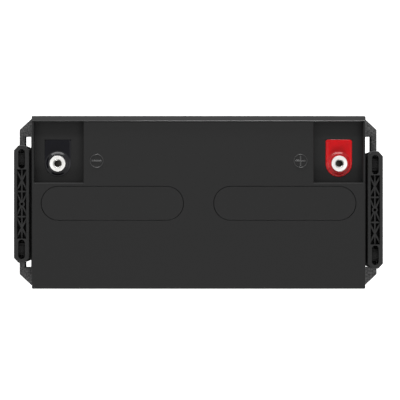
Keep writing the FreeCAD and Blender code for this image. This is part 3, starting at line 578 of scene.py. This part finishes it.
class BATTERY_OT_signs(BatteryTool, bpy.types.Operator):
    """Mould the raised polarity signs beside the terminal bays"""

    bl_idname = "battery.signs"
    bl_label = "Polarity signs"

    def execute(self, context):
        looks = context.scene.battery_case
        finish = polished_plastic(looks)
        low = LID_TOP - MARGIN
        high = LID_TOP + looks.sign_rise
        bevel = looks.sign_bevel
        inner = looks.sign_radius - looks.sign_ring / 2
        outer = looks.sign_radius + looks.sign_ring / 2
        ring = [(inner, low), (inner, high - bevel), (inner + bevel, high), (outer - bevel, high),
                (outer, high - bevel), (outer, low)]
        for pole, sign in POLES.items():
            x = sign * (bay_inner_wall() - looks.sign_from_bay)
            centre = Vector((x, LID_HIGH.y - looks.sign_from_rear, 0))
            middle = centre + Vector((0, 0, (low + high) / 2))
            shape = bmesh.new()
            turn(shape, ring, centre, SIGN_SIDES, closed=True)
            box_in(shape, middle, (looks.sign_bar, looks.sign_line, high - low), bevel)
            if pole == "positive":
                arm = (looks.sign_bar - looks.sign_line) / 2
                offset = Vector((0, (looks.sign_line + arm) / 2, 0))
                for side in (-1, 1):
                    box_in(shape, middle + offset * side, (looks.sign_line, arm, high - low), bevel)
            smooth(shape, 50)
            new_piece(f"{pole}_sign", shape, finish, "case")
        return {"FINISHED"}


class BATTERY_OT_terminals(BatteryTool, bpy.types.Operator):
    """Turn the terminals and cut their threads"""

    bl_idname = "battery.terminals"
    bl_label = "Terminals"

    def execute(self, context):
        looks = context.scene.battery_terminals
        finish = turned_tin(looks)
        head = looks.head_radius
        collar = collar_radius()
        bevel = looks.bevel
        fillet = looks.fillet
        mouth = looks.bore_radius + looks.countersink
        for pole in POLES:
            node = f"terminal_{pole}"
            low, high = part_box(node)
            centre = terminal_axis(pole)
            shoulder = high.z - looks.head_height
            under = low.z + looks.stem_height
            floor = high.z - looks.bore_depth
            outline = [
                (0, low.z),
                (looks.stem_radius, low.z),
                (looks.stem_radius, under),
                (collar, under),
                (collar, shoulder - bevel),
                (collar - bevel, shoulder),
                (head + fillet, shoulder),
                (head, shoulder + fillet),
                (head, high.z - bevel),
                (head - 0.3 * bevel, high.z - 0.3 * bevel),
                (head - bevel, high.z),
                (mouth + fillet, high.z),
                (mouth, high.z - MARGIN),
                (looks.bore_radius, high.z - 2 * looks.countersink),
                (looks.bore_radius, floor),
                (0, floor),
            ]
            shape = bmesh.new()
            turn(shape, outline, centre, ROUND_SIDES)
            cut_thread(shape, looks, centre, floor + looks.pitch, high.z - looks.thread_start)
            smooth(shape, 30)
            new_piece(f"turned_{node}", shape, finish, "case", [node])
        return {"FINISHED"}


def cut_thread(shape, looks, centre, low, high):
    """Adds a thread's ridge to a bore: a flat-topped wedge spun upwards, closed at both ends."""
    turns = (high - low) / looks.pitch - 1
    steps = round(THREAD_SIDES * turns)
    root = looks.bore_radius + MARGIN / 2
    half = looks.pitch * 0.45
    flat = looks.pitch * 0.08
    middle = low + half
    corners = [(root, -half), (looks.core_radius, -flat), (looks.core_radius, flat), (root, half)]
    verts = [shape.verts.new((centre.x + radius, centre.y, middle + height)) for radius, height in corners]
    start = shape.faces.new(verts)
    rise = Vector((0, 0, looks.pitch / THREAD_SIDES))
    angle = 2 * math.pi * steps / THREAD_SIDES
    bmesh.ops.spin(shape, geom=[start], cent=centre, axis=(0, 0, 1), dvec=rise, angle=angle, steps=steps,
                   use_merge=False, use_duplicate=False)


class BATTERY_OT_resin(BatteryTool, bpy.types.Operator):
    """Pour the coloured resin round the terminals"""

    bl_idname = "battery.resin"
    bl_label = "Terminal resin"

    def execute(self, context):
        looks = context.scene.battery_terminals
        collar = collar_radius()
        slope = [slope_start() + looks.cone * step / SLOPE_STEPS for step in range(SLOPE_STEPS + 1)]
        black = poured_resin("poured_black_epoxy", looks.black, looks)
        red = poured_resin("poured_red_epoxy", looks.red, looks)
        pours = {
            "negative": (black, "black_resin", looks.black_climb),
            "positive": (red, "red_resin", looks.red_climb),
        }
        for pole, (finish, slot, rise) in pours.items():
            node = f"terminal_seal_{pole}"
            low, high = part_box(node)
            centre = terminal_axis(pole)
            collar_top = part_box(f"terminal_{pole}")[1].z - looks.head_height
            film = collar_top + looks.film - high.z
            outer = (high.x - low.x) / 2
            back = high.y - centre.y
            shape = bmesh.new()
            rings = []
            for radius in (looks.head_radius + MARGIN, *slope, outer):
                made = bmesh.ops.create_circle(shape, segments=ROUND_SIDES, radius=radius)
                rings.append(made["verts"])
            square_back(rings[-1], outer, back)
            for first, second in zip(rings, rings[1:]):
                open_edges = [edge for edge in edges_at(first + second) if len(edge.link_faces) < 2]
                bridged = bmesh.ops.bridge_loops(shape, edges=open_edges)
                if second is rings[-1]:
                    bmesh.ops.subdivide_edges(shape, edges=bridged["edges"], cuts=9, use_grid_fill=True)
            under = bmesh.ops.extrude_face_region(shape, geom=shape.faces[:], use_keep_orig=True)["geom"]
            lower = {item for item in under if isinstance(item, bmesh.types.BMVert)}
            for vert in shape.verts:
                reach = math.hypot(vert.co.x, vert.co.y)
                if vert in lower:
                    vert.co.z = low.z if reach > collar + MARGIN else collar_top + COLLAR_GAP
                else:
                    fall = min(max((reach - slope[0]) / looks.cone, 0), 1)
                    vert.co.z = high.z + film * (1 - fall) + rise * climb(vert.co, outer, back)
            bmesh.ops.translate(shape, verts=shape.verts, vec=centre)
            smooth(shape, 50)
            new_piece(f"poured_resin_{pole}", shape, finish, "case", [node])
        return {"FINISHED"}


def square_back(verts, half, back):
    """Draws the rear half of a circle out to a square end."""
    for vert in verts:
        if vert.co.y > 0:
            reach = vert.co.length
            across = abs(vert.co.x) / reach
            along = vert.co.y / reach
            out = min(half / max(across, 1e-9), back / max(along, 1e-9))
            vert.co = Vector((vert.co.x / reach * out, vert.co.y / reach * out, 0))


def climb(place, outer, back):
    """How far the resin creeps up at a place: 1 at the well's walls, fading away from them."""
    reach = math.hypot(place.x, place.y)
    to_side = outer - abs(place.x) if place.y > 0 else outer - reach
    nearest = min(to_side, back - place.y)
    return math.exp(-max(nearest, 0) / CREEP)


class BATTERY_OT_handles(BatteryTool, bpy.types.Operator):
    """Finish the grips and mould the bands that hold them"""

    bl_idname = "battery.handles"
    bl_label = "Handles"

    def execute(self, context):
        looks = context.scene.battery_handles
        dress([f"grip_{end}" for end in ENDS], grip_plastic(looks))
        finish = ribbed_strap(looks)
        for end in ENDS:
            for where in ("front", "rear"):
                mould_band(f"strap_{end}_{where}", f"band_{end}_{where}", finish, f"{end}_bands", looks)
        return {"FINISHED"}


def mould_band(name, node, finish, body, looks):
    """A flat closed strap: a rounded loop of the band's middle surface, thickened and with rounded edges."""
    low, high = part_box(node)
    thick = looks.strap_thickness
    inset = thick / 2
    left, right = low.x + inset, high.x - inset
    bottom, top = low.z + inset, high.z - inset
    shape = bmesh.new()
    corners = [(left, bottom), (right, bottom), (right, top), (left, top)]
    verts = [shape.verts.new((x, low.y, z)) for x, z in corners]
    for first, second in zip(verts, verts[1:] + verts[:1]):
        shape.edges.new((first, second))
    bmesh.ops.bevel(shape, geom=verts, offset=looks.strap_bend + inset, offset_type="OFFSET",
                    affect="VERTICES", segments=6, profile=0.5, material=-1)
    made = bmesh.ops.extrude_edge_only(shape, edges=shape.edges[:])["geom"]
    moved = [item for item in made if isinstance(item, bmesh.types.BMVert)]
    bmesh.ops.translate(shape, verts=moved, vec=(0, high.y - low.y, 0))
    for face in shape.faces:
        face.smooth = True
    piece = new_piece(name, shape, finish, body, [node])
    skin = piece.modifiers.new("thickness", "SOLIDIFY")
    skin.thickness = thick
    skin.offset = 0
    skin.use_even_offset = True
    round_edges(piece, looks.strap_edge, 50, 3)


class BATTERY_OT_inside(BatteryTool, bpy.types.Operator):
    """Finish the plates, mats, welds, posts, valves, rings and bead"""

    bl_idname = "battery.inside"
    bl_label = "Inside"

    def execute(self, context):
        looks = context.scene.battery_inside
        cells = range(1, 7)
        lead = [f"negative_plates_{n}" for n in cells] + [f"cell_weld_{n}" for n in cells[:-1]]
        dress(lead + [f"post_{pole}" for pole in POLES], cast_lead(looks))
        dress([f"positive_plates_{n}" for n in cells], pasted_plate(looks))
        dress([f"separator_{n}" for n in cells], glass_mat(looks))
        dress([f"valve_cap_{n}" for n in cells] + [f"seal_ring_{pole}" for pole in POLES], soft_rubber(looks))
        dress(["sealing_bead"], cured_adhesive(looks))
        return {"FINISHED"}


def seen_rays(tree):
    """1 for what the camera, a mirror or glass sees, 0 for light that falls on the battery."""
    rays = add_node(tree, "LightPath").outputs
    seen = compute(tree, "MAXIMUM", rays["Is Camera Ray"], rays["Is Glossy Ray"])
    return compute(tree, "MAXIMUM", seen, rays["Is Transmission Ray"])


def floor_paint(looks):
    """Matt white studio paint, lifted to plain white where it is seen, so that only a faint shadow stays."""
    material, tree, principled, _ = new_finish("matt_white_studio_floor", looks.ground, Roughness=0.9,
                                               Specular_IOR_Level=0.1)
    principled.inputs["Emission Color"].default_value = (1, 1, 1, 1)
    lift = compute(tree, "MULTIPLY", seen_rays(tree), looks.lift)
    tree.links.new(lift, principled.inputs["Emission Strength"])
    return material


def soft_lamp(name, place, width, depth, watts):
    """A rectangular lamp that faces the middle of the lid."""
    data = bpy.data.lights.new(name, "AREA")
    data.shape = "RECTANGLE"
    data.size = width
    data.size_y = depth
    data.energy = watts
    lamp = bpy.data.objects.new(name, data)
    bpy.context.scene.collection.objects.link(lamp)
    lamp.location = place
    facing = Vector((0, 0, LID_TOP)) - Vector(place)
    lamp.rotation_euler = facing.to_track_quat("-Z", "Y").to_euler()


def white_room(looks):
    """A world that is plain white where it is seen, and lights the battery softly."""
    world = bpy.data.worlds.new("white_room")
    world.use_nodes = True
    tree = world.node_tree
    background = tree.nodes["Background"]
    background.inputs["Color"].default_value = (1, 1, 1, 1)
    strength = spread(tree, seen_rays(tree), looks.sky, 1.0)
    tree.links.new(strength, background.inputs["Strength"])
    return world


def view_from_above(looks):
    """A camera that looks straight down, shifted so that the view is where the photo has it."""
    data = bpy.data.cameras.new("camera")
    data.sensor_width = SENSOR
    data.lens = SENSOR * looks.camera_height / looks.view_width
    data.shift_x = (looks.view_x - looks.camera_x) / looks.view_width
    data.shift_y = (looks.view_y - looks.camera_y) / looks.view_width
    data.clip_start = NEAREST_SEEN
    camera = bpy.data.objects.new("camera", data)
    camera.location = (looks.camera_x, looks.camera_y, LID_TOP + looks.camera_height)
    bpy.context.scene.collection.objects.link(camera)
    return camera


class BATTERY_OT_stage(BatteryTool, bpy.types.Operator):
    """Set the floor, the soft lights and the camera straight above"""

    bl_idname = "battery.stage"
    bl_label = "Stage, lights and camera"

    def execute(self, context):
        looks = context.scene.battery_stage
        scene = context.scene
        scene.view_settings.view_transform = "Standard"
        shape = bmesh.new()
        level = Matrix.Translation((0, 0, -FLOOR_GAP))
        bmesh.ops.create_grid(shape, x_segments=1, y_segments=1, size=FLOOR_HALF, matrix=level)
        mesh = bpy.data.meshes.new("floor")
        shape.to_mesh(mesh)
        shape.free()
        mesh.materials.append(floor_paint(looks))
        floor = bpy.data.objects.new("floor", mesh)
        scene.collection.objects.link(floor)
        scene.world = white_room(looks)
        for name, place, width, depth, power in LAMPS:
            soft_lamp(name, place, width, depth, getattr(looks, power))
        scene.camera = view_from_above(looks)
        return {"FINISHED"}


TOOLS = (
    BATTERY_OT_case,
    BATTERY_OT_signs,
    BATTERY_OT_terminals,
    BATTERY_OT_resin,
    BATTERY_OT_handles,
    BATTERY_OT_inside,
    BATTERY_OT_stage,
)
LOOKS = {
    "battery_case": CaseLooks,
    "battery_terminals": TerminalLooks,
    "battery_handles": HandleLooks,
    "battery_inside": InsideLooks,
    "battery_stage": StageLooks,
}


class BATTERY_PT_panel(bpy.types.Panel):
    """Lists the battery's tools and looks"""

    bl_idname = "BATTERY_PT_panel"
    bl_label = "Battery"
    bl_space_type = "VIEW_3D"
    bl_region_type = "UI"
    bl_category = "Battery"

    def draw(self, context):
        for tool in TOOLS:
            self.layout.operator(tool.bl_idname)
        for name in LOOKS:
            looks = getattr(context.scene, name)
            box = self.layout.box()
            for prop in looks.__annotations__:
                box.prop(looks, prop)


def register():
    for kind in (*LOOKS.values(), *TOOLS, BATTERY_PT_panel):
        bpy.utils.register_class(kind)
    for name, kind in LOOKS.items():
        setattr(bpy.types.Scene, name, PointerProperty(type=kind))


def unregister():
    for name in LOOKS:
        delattr(bpy.types.Scene, name)
    for kind in (BATTERY_PT_panel, *reversed(TOOLS), *LOOKS.values()):
        bpy.utils.unregister_class(kind)


def main():
    register()
    for tool in TOOLS:
        group, name = tool.bl_idname.split(".")
        getattr(getattr(bpy.ops, group), name)()


if __name__ == "__main__":
    main()
